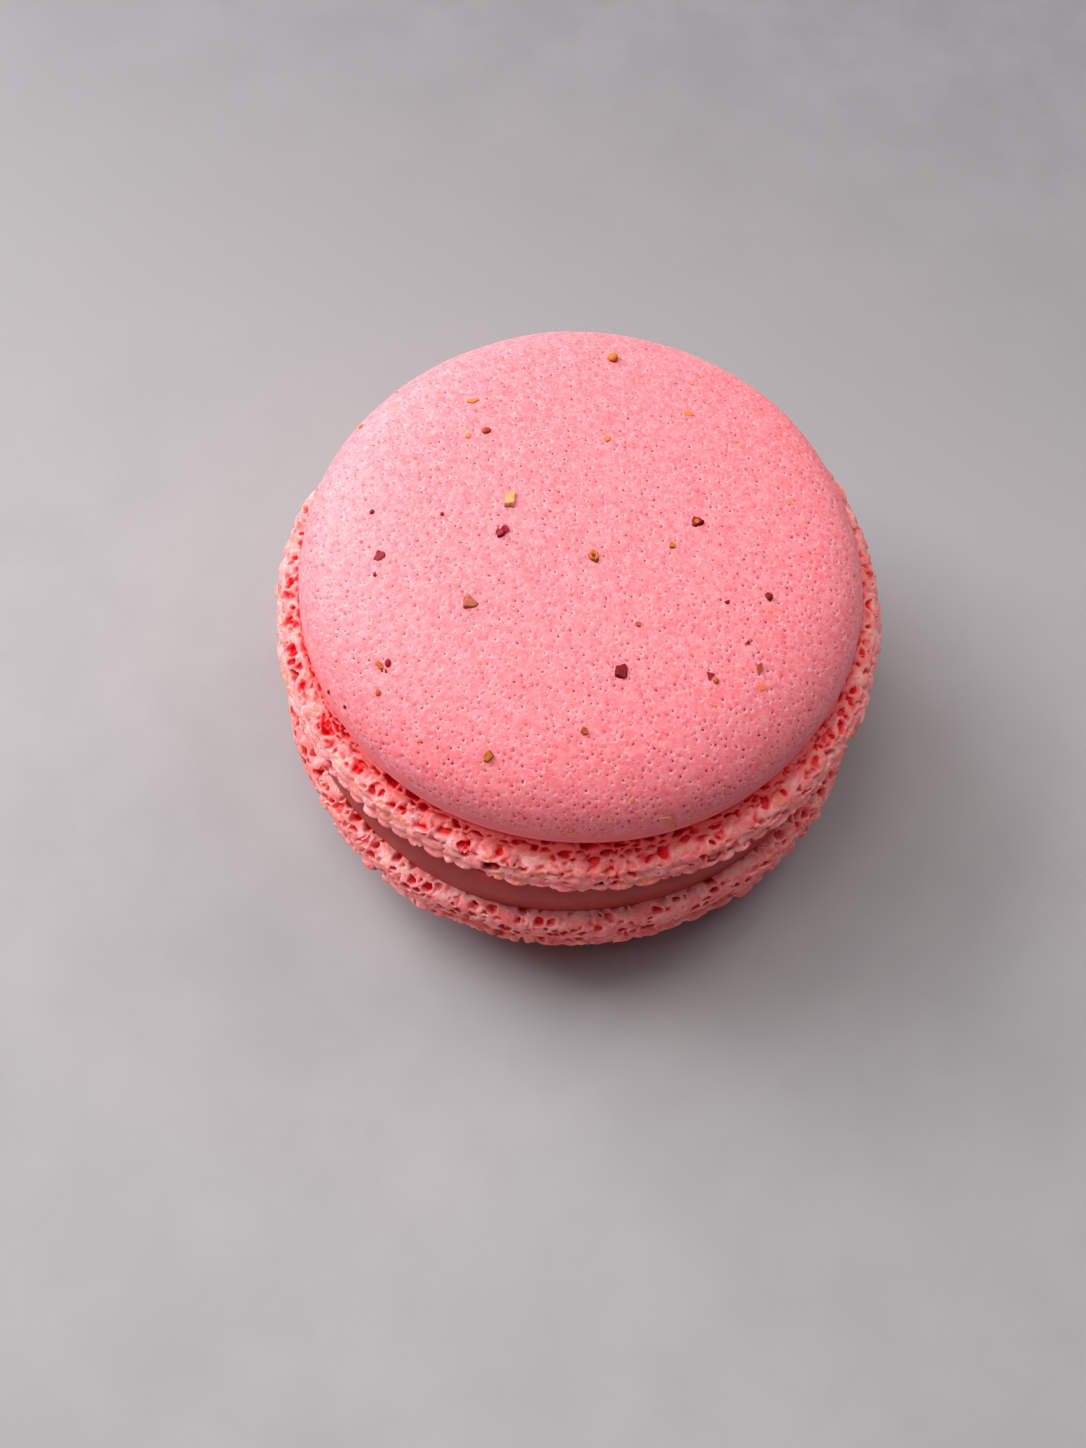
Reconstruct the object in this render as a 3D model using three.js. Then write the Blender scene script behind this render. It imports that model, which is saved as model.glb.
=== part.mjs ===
// A French macaron: two domed meringue shells with ruffled, porous feet, round a disc of filling.
// Units are millimetres and +Z is up. The origin is under the middle of the macaron's bounding box,
// on the surface that it rests on.

import * as THREE from 'three';
import { mergeVertices } from 'three/addons/utils/BufferGeometryUtils.js';

// Driving dimensions. Heights in a shell are measured from its flat baked underside.
const SEGMENTS = 104; // facets round each piece, four to a ruffle
const DOME_RINGS = 9; // facet rings from the dome's widest line up to its crown
const DOME_SPREAD = 1.3; // 1 spaces those rings evenly, more draws them down to the shoulder
const DOME_FLATNESS = 2.2; // superellipse exponent: 2 is a round crown, more is flatter
const DOME_SHOULDER = 3.45; // superellipse exponent: more makes the dome's side steeper
const TUCK_HEIGHT = 0.6; // from the crease over the foot up to the dome's widest line
const CREASE_GAP = 0.3; // height of the groove between the foot's last tier and the dome

// The section of a foot's tier: how far each ring stands back, and its shares of the tier's height
// and ruffle.
const TIER_SECTION = [
  { back: 0.3, height: 0, ruffle: 0.5 },
  { back: 0, height: 0.25, ruffle: 1 },
  { back: 0.05, height: 0.65, ruffle: 1 },
  { back: 0.35, height: 1, ruffle: 1 },
];

// A ruffle is the sum of these waves: each one's share, how many lobes fewer it has, and its share of
// the phase.
const RUFFLE_WAVES = [
  { share: 0.65, fewer: 0, phase: 1 },
  { share: 0.35, fewer: 9, phase: 2.1 },
];

const TOP_SHELL = {
  height: 9.8,
  domeRadius: 20.2,
  flatRadius: 1.5, // radius of the level spot on the crown
  ruffleCount: 26,
  tiers: [
    // A foot is a stack of bulging tiers with a groove over each.
    { radius: 22.4, base: 0, top: 1.6, ruffle: 0.25, turn: 0.4, groove: 20.9 },
    { radius: 21.0, base: 1.9, top: 2.55, ruffle: 0.15, turn: 2.3, groove: 19.85 },
  ],
};

const BOTTOM_SHELL = {
  height: 10.2,
  domeRadius: 20.4,
  flatRadius: 5, // the spot that the macaron rests on
  ruffleCount: 26,
  tiers: [
    { radius: 21.75, base: 0, top: 2.5, ruffle: 0.2, turn: 1.1, groove: 21.0 },
    { radius: 21.85, base: 3.0, top: 4.4, ruffle: 0.2, turn: 3.7, groove: 20.2 },
  ],
};

const FILLING = {
  radius: 20.4,
  thickness: 4.3, // at the middle, up to the top shell's underside
  edge: 0.3, // height of the rounded edges
  clearance: 0.3, // under the top shell, which lies at an angle
};

// The top shell was set down a little off centre, and its right side sits lower.
const TOP_SHIFT = { x: 0.39, y: 2.33 };
const TILT_DEGREES = 1.64;
const TOP_TILT = THREE.MathUtils.degToRad(TILT_DEGREES);

// Colours.
const SHELL_PINK = 0xe98591;
const FILLING_ROSE = 0x9a4a48;
const CRUST_ROUGHNESS = 0.75;
const FILLING_ROUGHNESS = 0.55;

const matte = (color, roughness) => new THREE.MeshStandardMaterial({ color, roughness, metalness: 0 });

// One ring of a turned profile. ruffle is how far its lobes stand out, turn is their phase.
const ring = (radius, height, ruffle = 0, turn = 0) => ({ radius, height, ruffle, turn });

// The rings of one bulging tier of a foot, and of the groove over it.
function tierRings(tier, nextBase) {
  const span = tier.top - tier.base;
  const bulge = TIER_SECTION.map((point) => {
    const height = tier.base + point.height * span;
    return ring(tier.radius - point.back, height, tier.ruffle * point.ruffle, tier.turn);
  });
  return [...bulge, ring(tier.groove, (tier.top + nextBase) / 2)];
}

// The foot's rings, from the rim of the underside up to the crease.
function footRings(shell) {
  const footTop = shell.tiers.at(-1).top + CREASE_GAP;
  return shell.tiers.flatMap((tier, index) => {
    const nextBase = index + 1 < shell.tiers.length ? shell.tiers[index + 1].base : footTop;
    return tierRings(tier, nextBase);
  });
}

// The dome's rings, from its widest line up to the level spot on its crown.
function domeRings(shell, baseHeight) {
  const rise = shell.height - baseHeight;
  const flatShare = Math.pow(shell.flatRadius / shell.domeRadius, DOME_FLATNESS / 2);
  const lastAngle = Math.acos(flatShare);
  const rings = [];
  for (let step = 0; step < DOME_RINGS; step += 1) {
    const angle = lastAngle * Math.pow(step / (DOME_RINGS - 1), DOME_SPREAD);
    const radius = shell.domeRadius * Math.pow(Math.cos(angle), 2 / DOME_FLATNESS);
    const lift = rise * Math.pow(Math.sin(angle), 2 / DOME_SHOULDER);
    const isLast = step === DOME_RINGS - 1;
    rings.push(ring(radius, isLast ? shell.height : baseHeight + lift));
  }
  return rings;
}

// A shell's whole profile: out along the underside, up the foot and over the dome to the axis.
function shellRings(shell) {
  const foot = footRings(shell);
  const creaseHeight = foot.at(-1).height;
  const dome = domeRings(shell, creaseHeight + TUCK_HEIGHT);
  return [ring(0, 0), ...foot, ...dome, ring(0, shell.height)];
}

// How far the lobes of a ring stand out at an angle, from -ruffle to ruffle.
function ruffleAt(angle, lobes, { ruffle, turn }) {
  let sum = 0;
  for (const { share, fewer, phase } of RUFFLE_WAVES) {
    sum += share * Math.cos((lobes - fewer) * angle + phase * turn);
  }
  return ruffle * sum;
}

// Drops the triangles that a turned profile's ends on the axis leave with no area.
function withoutSlivers(geometry) {
  const corners = geometry.index.array;
  const kept = [];
  for (let i = 0; i < corners.length; i += 3) {
    const [a, b, c] = [corners[i], corners[i + 1], corners[i + 2]];
    if (a !== b && b !== c && c !== a) kept.push(a, b, c);
  }
  geometry.setIndex(kept);
  return geometry;
}

// Turns a profile round +Z into one closed body, with each ring's lobes added.
function turned(rings, lobes) {
  const profile = rings.map(({ radius, height }) => new THREE.Vector2(radius, height));
  const geometry = new THREE.LatheGeometry(profile, SEGMENTS);
  geometry.rotateX(Math.PI / 2);
  const position = geometry.attributes.position;
  for (let i = 0; i < position.count; i += 1) {
    const here = rings[i % rings.length];
    const column = Math.floor(i / rings.length) % SEGMENTS;
    const angle = (2 * Math.PI * column) / SEGMENTS;
    const reach = here.radius + ruffleAt(angle, lobes, here);
    position.setXYZ(i, reach * Math.cos(angle), reach * Math.sin(angle), here.height);
  }
  geometry.deleteAttribute('normal');
  geometry.deleteAttribute('uv');
  return withoutSlivers(mergeVertices(geometry));
}

// The filling: a disc with rounded edges, whose top follows the top shell's tilt.
function fillingGeometry({ radius, thickness, edge, clearance }) {
  const top = thickness - clearance;
  const rings = [
    ring(0, 0),
    ring(radius - edge / 2, 0),
    ring(radius, edge),
    ring(radius, top - edge),
    ring(radius - edge / 2, top),
    ring(0, top),
  ];
  const geometry = turned(rings, 0);
  const position = geometry.attributes.position;
  for (let i = 0; i < position.count; i += 1) {
    const isUpper = position.getZ(i) > thickness / 2;
    const drop = isUpper ? (position.getX(i) - TOP_SHIFT.x) * Math.tan(TOP_TILT) : 0;
    position.setZ(i, position.getZ(i) - drop);
  }
  return geometry;
}

function named(name, geometry, material) {
  const mesh = new THREE.Mesh(geometry, material);
  mesh.name = name;
  return mesh;
}

const crust = matte(SHELL_PINK, CRUST_ROUGHNESS);
const macaron = new THREE.Group();

// The bottom shell lies dome down on its level spot.
const bottomGeometry = turned(shellRings(BOTTOM_SHELL), BOTTOM_SHELL.ruffleCount);
const bottomShell = named('shell_bottom', bottomGeometry, crust);
bottomShell.rotation.x = Math.PI;
bottomShell.position.z = BOTTOM_SHELL.height;
macaron.add(bottomShell);

const filling = named('filling', fillingGeometry(FILLING), matte(FILLING_ROSE, FILLING_ROUGHNESS));
filling.position.z = BOTTOM_SHELL.height;
macaron.add(filling);

const topGeometry = turned(shellRings(TOP_SHELL), TOP_SHELL.ruffleCount);
const topShell = named('shell_top', topGeometry, crust.clone());
topShell.position.set(TOP_SHIFT.x, TOP_SHIFT.y, BOTTOM_SHELL.height + FILLING.thickness);
topShell.rotation.y = TOP_TILT;
macaron.add(topShell);

// Brings the middle of the bounding box over the origin.
const middle = new THREE.Box3().setFromObject(macaron, true).getCenter(new THREE.Vector3());
macaron.position.set(-middle.x, -middle.y, 0);

export default macaron;
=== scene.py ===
"""A French macaron: pitted domes, foamy feet, a band of filling and crumbs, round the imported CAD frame.

Shapes are worked out in millimetres in each shell's own frame: z is 0 at the flat baked underside and grows
towards the crown. They go into Blender in metres.
"""

import math

import bmesh
import bpy
import numpy as np
import openvdb
from mathutils import Matrix, Vector, noise


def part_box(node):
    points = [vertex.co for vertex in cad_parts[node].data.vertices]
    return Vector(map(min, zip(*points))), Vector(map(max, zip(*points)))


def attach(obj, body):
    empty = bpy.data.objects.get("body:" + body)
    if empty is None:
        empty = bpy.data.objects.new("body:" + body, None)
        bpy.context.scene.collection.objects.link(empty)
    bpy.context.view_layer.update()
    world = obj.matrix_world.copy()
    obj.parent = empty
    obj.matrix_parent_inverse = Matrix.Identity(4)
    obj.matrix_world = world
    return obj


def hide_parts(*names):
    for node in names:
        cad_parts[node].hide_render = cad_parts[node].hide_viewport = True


MM = 0.001

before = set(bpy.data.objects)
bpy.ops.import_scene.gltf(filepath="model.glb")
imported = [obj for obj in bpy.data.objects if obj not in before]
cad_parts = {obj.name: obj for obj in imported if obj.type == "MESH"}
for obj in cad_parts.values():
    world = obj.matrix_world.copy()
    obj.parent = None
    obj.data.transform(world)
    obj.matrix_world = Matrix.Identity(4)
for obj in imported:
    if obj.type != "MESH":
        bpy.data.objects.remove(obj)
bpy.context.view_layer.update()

# ---- Where the shells sit, from the frame ----

FILLING_THICKNESS = 4.3  # between the two shells' baked faces
TOP_TILT = math.radians(1.64)  # the top shell's right side sits lower


def node_box(node):
    """Lowest and highest corners of a CAD node, in millimetres."""
    low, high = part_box(node)
    return np.array(low) / MM, np.array(high) / MM


bottom_low, bottom_high = node_box("shell_bottom")
top_low, top_high = node_box("shell_top")
bottom_middle = (bottom_low + bottom_high) / 2
top_middle = (top_low + top_high) / 2
seat_height = bottom_high[2]

top_seat_height = seat_height + FILLING_THICKNESS

# From each shell's frame to the part's frame, both in millimetres.
BOTTOM_SEAT = Matrix.Translation((bottom_middle[0], bottom_middle[1], seat_height))
TOP_SEAT = Matrix.Translation((top_middle[0], top_middle[1], top_seat_height))
BOTTOM_PLACE = BOTTOM_SEAT @ Matrix.Rotation(math.pi, 4, "X")
TOP_PLACE = TOP_SEAT @ Matrix.Rotation(TOP_TILT, 4, "Y")


# ---- Camera: it looks down at 66.5 degrees from 115 mm, at a point of the top shell's baked plane ----

CAMERA_ELEVATION = math.radians(66.53)
CAMERA_DISTANCE = 115.0
CAMERA_ROLL = math.radians(-0.42)
CAMERA_PIXELS = 1600.0  # focal length in pixels of the picture
PICTURE = (1086, 1448)
LOOK_OFFSET = (-2.68, -9.96)  # from the top shell's axis to where the camera looks

look = Vector((top_middle[0] + LOOK_OFFSET[0], top_middle[1] + LOOK_OFFSET[1], top_seat_height))
away = Vector((0, -math.cos(CAMERA_ELEVATION), math.sin(CAMERA_ELEVATION)))
camera_turn = (-away).to_track_quat("-Z", "Y").to_matrix() @ Matrix.Rotation(CAMERA_ROLL, 3, "Z")
camera_place = (look + away * CAMERA_DISTANCE) * MM


def make_camera():
    data = bpy.data.cameras.new("camera")
    data.sensor_width = 36
    data.lens = CAMERA_PIXELS * data.sensor_width / PICTURE[1]
    data.clip_start = 0.005
    camera = bpy.data.objects.new("camera", data)
    bpy.context.scene.collection.objects.link(camera)
    camera.location = camera_place
    camera.rotation_euler = camera_turn.to_euler()
    bpy.context.scene.camera = camera


def sight_line(pixel):
    """The direction from the camera through a pixel of the picture."""
    across = (pixel[0] - PICTURE[0] / 2) / CAMERA_PIXELS
    down = (pixel[1] - PICTURE[1] / 2) / CAMERA_PIXELS
    return (camera_turn @ Vector((across, -down, -1))).normalized()


# ---- Small mesh and number helpers ----


def smooth_step(x, low, high):
    """0 below low, 1 above high, and an S curve between them."""
    t = np.clip((x - low) / (high - low), 0, 1)
    return t * t * (3 - 2 * t)


def place_points(place, points):
    """Points in a shell's frame, moved to the part's frame. Both in millimetres."""
    m = np.array(place)
    return points @ m[:3, :3].T + m[:3, 3]


def perlin(points, wavelength, shift=(0, 0, 0)):
    """Perlin noise at each point, about -1 to 1."""
    rows = (points / wavelength + np.array(shift)).tolist()
    return np.array([noise.noise(row) for row in rows])


RING_SAMPLES = 4096  # values that a wave round a ring has over the full turn


def ring_wave(rng, lowest, highest, size):
    """A smooth random wave round a ring, of lowest to highest periods. size is its standard deviation."""
    turn = np.linspace(0, 2 * math.pi, RING_SAMPLES, endpoint=False)
    counts = np.arange(lowest, highest + 1)
    strengths = rng.normal(size=len(counts))
    phases = rng.uniform(0, 2 * math.pi, len(counts))
    wave = (strengths[:, None] * np.cos(counts[:, None] * turn + phases[:, None])).sum(0)
    return wave / wave.std() * size


def at_angle(wave, angle):
    """The ring wave's value at each angle, in radians."""
    index = (np.asarray(angle) / (2 * math.pi) * len(wave)).astype(int) % len(wave)
    return wave[index]


def make_mesh(name, points, triangles, place):
    """A smooth-shaded object from points in a shell's frame, in millimetres."""
    mesh = bpy.data.meshes.new(name)
    world = place_points(place, points) * MM
    mesh.vertices.add(len(world))
    mesh.vertices.foreach_set("co", world.astype(np.float32).ravel())
    mesh.loops.add(len(triangles) * 3)
    mesh.loops.foreach_set("vertex_index", triangles.astype(np.int32).ravel())
    mesh.polygons.add(len(triangles))
    mesh.polygons.foreach_set("loop_start", np.arange(0, len(triangles) * 3, 3, dtype=np.int32))
    mesh.update(calc_edges=True)
    mesh.validate()
    mesh.polygons.foreach_set("use_smooth", np.ones(len(mesh.polygons), bool))
    thing = bpy.data.objects.new(name, mesh)
    bpy.context.scene.collection.objects.link(thing)
    return thing


def add_values(thing, name, values):
    """A number for each vertex, which the materials read by name."""
    layer = thing.data.attributes.new(name, "FLOAT", "POINT")
    layer.data.foreach_set("value", np.asarray(values, np.float32))


def mesh_points(thing):
    """The object's vertices, in the part's frame, in metres."""
    points = np.empty(len(thing.data.vertices) * 3, np.float32)
    thing.data.vertices.foreach_get("co", points)
    return points.reshape(-1, 3).astype(float)


def biggest_part(points, triangles):
    """The largest connected part of a mesh, without loose scraps."""
    label = np.arange(len(points))
    a, b, c = triangles.T
    while True:
        low = np.minimum(np.minimum(label[a], label[b]), label[c])
        new = label.copy()
        for corner in (a, b, c):
            np.minimum.at(new, corner, low)
        new = new[new]
        if (new == label).all():
            break
        label = new
    keep = label == np.bincount(label).argmax()
    index = np.cumsum(keep) - 1
    return points[keep], index[triangles[keep[a]]]


# ---- Domes ----

DOME_FLATNESS = 2.2  # superellipse exponents, as on the CAD shells
DOME_SHOULDER = 3.45
BRIM_RISE = 0.05  # a thin brim where the dome meets its foot
BRIM_WIDTH = 0.13
HIDDEN_INSET = 0.8  # how far the crust runs on under the crease, out of sight
SWELL_HEIGHT, SWELL_SIZE = 0.045, 5.0
RIPPLE_HEIGHT, RIPPLE_SIZE = 0.02, 1.9
SKIN_HEIGHT, SKIN_SIZE = 0.011, 0.62
PINHOLE_EDGE = 0.9  # width of the smooth band at the dome's edge that has no pinholes
PINHOLE_RADIUS = 0.09
PINHOLE_SPREAD = 0.35  # standard deviation of the logarithm of their radii
PINHOLE_GAP = 0.3  # least distance between two pinholes
CORE_RADIUS = 18.0
CORE_DROP = 0.4  # from the crease down to the core's upper edge
CORE_FLOOR = 0.03  # from the baked underside up to the core's own
CORE_SIDES = 48

TOP_DOME = dict(crown=9.8, radius=20.2, base=3.3, crease_radius=19.75, crease=2.85)
BOTTOM_DOME = dict(crown=10.2, radius=20.4, base=5.2, crease_radius=19.9, crease=4.6)


def dome_profile(shape):
    """Distances along the crust from the crown to its hidden edge, with the radius and height at each."""
    turn = np.linspace(math.pi / 2, 0, 2000)
    rise = shape["crown"] - shape["base"]
    radius = shape["radius"] * np.cos(turn).clip(0) ** (2 / DOME_FLATNESS)
    height = shape["base"] + rise * np.sin(turn) ** (2 / DOME_SHOULDER)
    tuck = np.linspace(0, math.pi / 2, 200)[1:]
    tuck_radius = shape["crease_radius"] + (shape["radius"] - shape["crease_radius"]) * np.cos(tuck)
    tuck_height = shape["base"] - (shape["base"] - shape["crease"]) * np.sin(tuck)
    radius = np.concatenate([radius, tuck_radius, [shape["crease_radius"] - HIDDEN_INSET]])
    height = np.concatenate([height, tuck_height, [shape["crease"]]])
    along = np.concatenate([[0], np.cumsum(np.hypot(np.diff(radius), np.diff(height)))])
    return along, radius, height


def zipped(first, first_angles, second, second_angles):
    """Triangles between two rings of vertices, which may have different counts. first is the inner ring."""
    triangles = []
    i = j = 0
    n, m = len(first), len(second)
    while i < n or j < m:
        next_first = first_angles[i + 1] if i + 1 < n else first_angles[0] + 2 * math.pi
        next_second = second_angles[j + 1] if j + 1 < m else second_angles[0] + 2 * math.pi
        if j >= m or (i < n and next_first < next_second):
            triangles.append((first[i % n], second[j % m], first[(i + 1) % n]))
            i += 1
        else:
            triangles.append((first[i % n], second[j % m], second[(j + 1) % m]))
            j += 1
    return triangles


def dome_net(along, radius, spacing, rng):
    """An even net of triangles over a dome, ring by ring.

    Gives each vertex's distance along the crust and its angle, the triangles, the last ring and how many
    rings there are.
    """
    steps = max(2, round(along[-1] / spacing))
    triangles = []
    distances, angles = [0.0], [0.0]
    inner, inner_angles = [0], [0.0]
    for step in range(1, steps + 1):
        distance = along[-1] * step / steps
        around = max(6, round(2 * math.pi * np.interp(distance, along, radius) / spacing))
        start = rng.uniform(0, 2 * math.pi / around)
        ring_angles = start + np.arange(around) * 2 * math.pi / around
        ring = list(range(len(distances), len(distances) + around))
        distances.extend([distance] * around)
        angles.extend(ring_angles)
        if step == 1:
            triangles += [(0, ring[k], ring[(k + 1) % around]) for k in range(around)]
        else:
            triangles += zipped(inner, inner_angles, ring, ring_angles)
        inner, inner_angles = ring, ring_angles
    return np.array(distances), np.array(angles), np.array(triangles), inner, steps


def neighbours_of(count, triangles):
    """For each vertex, the vertices next to it, as one long list and where each vertex's part starts."""
    pairs = np.concatenate([triangles[:, [0, 1]], triangles[:, [1, 2]], triangles[:, [2, 0]]])
    pairs = np.concatenate([pairs, pairs[:, ::-1]])
    pairs = np.unique(pairs, axis=0)
    starts = np.searchsorted(pairs[:, 0], np.arange(count + 1))
    return pairs[:, 1], starts


def scatter_on_disc(rng, count, reach, least):
    """Random places on a disc that keep a least distance from each other."""
    cells = {}
    places = []
    for _ in range(count * 3):
        if len(places) >= count:
            break
        r = reach * math.sqrt(rng.uniform())
        a = rng.uniform(0, 2 * math.pi)
        x, y = r * math.cos(a), r * math.sin(a)
        cell = (int(x // least), int(y // least))
        near = [cells.get((cell[0] + i, cell[1] + j), ()) for i in (-1, 0, 1) for j in (-1, 0, 1)]
        if all(math.hypot(x - u, y - v) >= least for group in near for u, v in group):
            cells.setdefault(cell, []).append((x, y))
            places.append((x, y))
    return np.array(places)


def prick(rng, flat, distance, triangles, steps, count, reach, largest):
    """Makes pinholes in a dome's net, as small cones, within reach of the crown.

    The vertex nearest to a spot goes down, and its neighbours close round it as its rim. That moves the
    vertices in flat. Gives each vertex's depth, how much painted shade darkens it as the pinhole's inside,
    and how much painted highlight lightens it as a lit rim.
    """
    depth, pit_shade, rim_highlight = (np.zeros(len(flat)) for _ in range(3))
    taken = np.zeros(len(flat), bool)
    next_to, starts = neighbours_of(len(flat), triangles)
    ring_step = distance[-1] / steps
    first_of_ring = np.searchsorted(distance, np.arange(steps + 2) * ring_step - ring_step / 2)
    sizes = rng.lognormal(math.log(PINHOLE_RADIUS), PINHOLE_SPREAD, count)
    spots = scatter_on_disc(rng, count, reach, PINHOLE_GAP)
    for (x, y), size in zip(spots, sizes):
        ring = min(int(round(math.hypot(x, y) / ring_step)), steps - 3)
        members = np.arange(first_of_ring[ring], first_of_ring[ring + 1])
        centre = members[np.abs(flat[members] - (x, y)).sum(1).argmin()]
        near = next_to[starts[centre] : starts[centre + 1]]
        if taken[centre] or taken[near].any():
            continue
        taken[centre] = True
        taken[near] = True
        size = min(size, largest)
        stretch = rng.uniform(1, 1.5)
        turn = rng.uniform(0, math.pi)
        away = flat[near] - flat[centre]
        away *= size / np.linalg.norm(away, axis=1)[:, None]
        axis = np.array([math.cos(turn), math.sin(turn)])
        away += (stretch - 1) * (away @ axis)[:, None] * axis
        flat[near] = flat[centre] + away
        depth[centre] = rng.uniform(0.8, 1.5) * size
        pit_shade[centre] = rng.uniform(0.45, 1.0)
        rim_highlight[near] = max(0, rng.uniform(-1, 1))
    return depth, pit_shade, rim_highlight


def lay_on_dome(rng, profile, distance, angle):
    """Points of the smooth crust at distances from the crown, and the way that the crust faces there."""
    along, radius, height = profile
    out = 1 + at_angle(ring_wave(rng, 2, 7, 0.0022), angle)
    r = np.interp(distance, along, radius) * out
    z = np.interp(distance, along, height)
    small = 0.01
    r_ahead, r_behind = (np.interp(distance + s, along, radius) for s in (small, -small))
    z_ahead, z_behind = (np.interp(distance + s, along, height) for s in (small, -small))
    slope = np.stack([r_ahead - r_behind, z_ahead - z_behind], 1)
    slope /= np.linalg.norm(slope, axis=1)[:, None].clip(1e-9)
    normal = np.stack([-slope[:, 1] * np.cos(angle), -slope[:, 1] * np.sin(angle), slope[:, 0]], 1)
    return np.stack([r * np.cos(angle), r * np.sin(angle), z], 1), normal


def core_under(shape, ring, ring_angles, first_new):
    """The hidden core that closes a dome below its last ring: new points, and triangles."""
    side_angles = np.arange(CORE_SIDES) * 2 * math.pi / CORE_SIDES
    ring_angles = ring_angles % (2 * math.pi)
    order = np.argsort(ring_angles)
    ring, ring_angles = [ring[k] for k in order], ring_angles[order]
    points, triangles = [], []
    for height in (shape["crease"] - CORE_DROP, CORE_FLOOR):
        next_ring = [first_new + len(points) + k for k in range(CORE_SIDES)]
        points += [(CORE_RADIUS * math.cos(a), CORE_RADIUS * math.sin(a), height) for a in side_angles]
        triangles += zipped(ring, ring_angles, next_ring, side_angles)
        ring, ring_angles = next_ring, side_angles
    middle = first_new + len(points)
    points.append((0, 0, CORE_FLOOR))
    triangles += [(ring[k], middle, ring[(k + 1) % CORE_SIDES]) for k in range(CORE_SIDES)]
    return np.array(points), np.array(triangles)


def build_dome(name, shape, place, spacing, pinholes, seed):
    """A closed dome: fine pitted crust above, and a plain core below that the foot and filling hide."""
    rng = np.random.default_rng(seed)
    profile = dome_profile(shape)
    along, radius, _ = profile
    distance, angle, triangles, last_ring, steps = dome_net(along, radius, spacing, rng)
    flat = np.stack([distance * np.cos(angle), distance * np.sin(angle)], 1)
    widest = radius.argmax()
    edge = np.interp(shape["radius"] - 1e-3, radius[:widest], along[:widest])
    reach = edge - PINHOLE_EDGE
    depth, pit_shade, rim_highlight = prick(rng, flat, distance, triangles, steps, pinholes, reach, 0.95 * spacing)
    distance = np.linalg.norm(flat, axis=1)
    angle = np.arctan2(flat[:, 1], flat[:, 0])
    points, normal = lay_on_dome(rng, profile, distance, angle)

    # The crust is a little uneven: slow swells, then a fine skin like orange peel away from the edge.
    swell = SWELL_HEIGHT * perlin(points, SWELL_SIZE, (seed, 0, 0))
    swell = swell + RIPPLE_HEIGHT * perlin(points, RIPPLE_SIZE, (0, seed, 0))
    skin = SKIN_HEIGHT * perlin(points, SKIN_SIZE, (0, 0, seed))
    inner = 1 - smooth_step(distance, reach - 0.5, reach + 1.0)
    brim = np.exp(-(((distance - edge - BRIM_WIDTH) / BRIM_WIDTH) ** 2))
    points += normal * (swell * (0.25 + 0.75 * inner) + skin * inner + BRIM_RISE * brim - depth)[:, None]

    core, core_triangles = core_under(shape, last_ring, angle[last_ring], len(points))
    everything = np.concatenate([points, core]), np.concatenate([triangles, core_triangles])
    thing = make_mesh(name, *everything, place)
    padding = np.zeros(len(core))
    # Painted shade darkens the inside of each pinhole, and painted highlight lightens the pinholes' rims and
    # the brim at the dome's edge.
    add_values(thing, "pit_shade", np.concatenate([pit_shade, padding]))
    add_values(thing, "inner", np.concatenate([inner, padding]))
    add_values(thing, "rim_highlight", np.concatenate([np.maximum(rim_highlight, 0.9 * brim), padding]))
    return thing


# ---- Feet: a field of signed distances, torn into foam near its surface, is made into a mesh ----


class Field:
    """Signed distances on a regular grid, in millimetres. Negative is inside."""

    def __init__(self, low, high, step):
        self.low, self.step = np.array(low, float), step
        self.shape = tuple(int(math.ceil((h - l) / step)) + 1 for l, h in zip(low, high))
        self.values = np.ones(self.shape, np.float32)

    def points(self, chosen):
        """x, y and z of the chosen grid points."""
        indices = np.nonzero(chosen)
        return [index.astype(np.float32) * self.step + low for index, low in zip(indices, self.low)]

    def around(self, centre, reach):
        """The part of the grid within reach of a centre, and offsets from the centre."""
        start = np.array(centre) - self.low
        low = [max(0, int((c - reach) / self.step)) for c in start]
        high = [min(n, int((c + reach) / self.step) + 2) for c, n in zip(start, self.shape)]
        part = tuple(slice(a, b) for a, b in zip(low, high))
        offsets = [
            np.arange(a, b, dtype=np.float32) * self.step + l - c
            for a, b, l, c in zip(low, high, self.low, centre)
        ]
        return part, np.meshgrid(*offsets, indexing="ij")

    def hole(self, angle, radius, height, size, blend):
        """Cuts out an egg. size is its half extents outwards, round the ring and up."""
        centre = (radius * math.cos(angle), radius * math.sin(angle), height)
        part, (x, y, z) = self.around(centre, max(size) + 2 * blend)
        outwards = x * math.cos(angle) + y * math.sin(angle)
        along = y * math.cos(angle) - x * math.sin(angle)
        length = np.sqrt((outwards / size[0]) ** 2 + (along / size[1]) ** 2 + (z / size[2]) ** 2)
        egg = (length - 1) * min(size)
        self.values[part] = -soft_least(-self.values[part], egg, blend)

    def sample(self, points):
        """The field at any points, between the grid's by straight lines."""
        place = (points - self.low) / self.step
        base = np.clip(np.floor(place).astype(int), 0, np.array(self.shape) - 2)
        share = np.clip(place - base, 0, 1)
        total = np.zeros(len(points))
        for corner in range(8):
            bits = np.array([corner & 1, corner >> 1 & 1, corner >> 2 & 1])
            weight = np.prod(np.where(bits, share, 1 - share), axis=1)
            total += weight * self.values[tuple((base + bits).T)]
        return total

    def mesh(self):
        """Points and triangles of the surface where the field is 0."""
        grid = openvdb.FloatGrid(1.0)
        grid.copyFromArray(self.values)
        points, quads = grid.convertToQuads(isovalue=0.0)
        quads = quads.astype(np.int64)[:, ::-1]
        triangles = np.concatenate([quads[:, [0, 1, 2]], quads[:, [0, 2, 3]]])
        return points.astype(float) * self.step + self.low, triangles


def soft_least(a, b, blend):
    """The lesser of two distances, with a round fillet of about the blend's size."""
    h = np.clip(blend - np.abs(a - b), 0, None) / blend
    return np.minimum(a, b) - h * h * blend / 4


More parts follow.
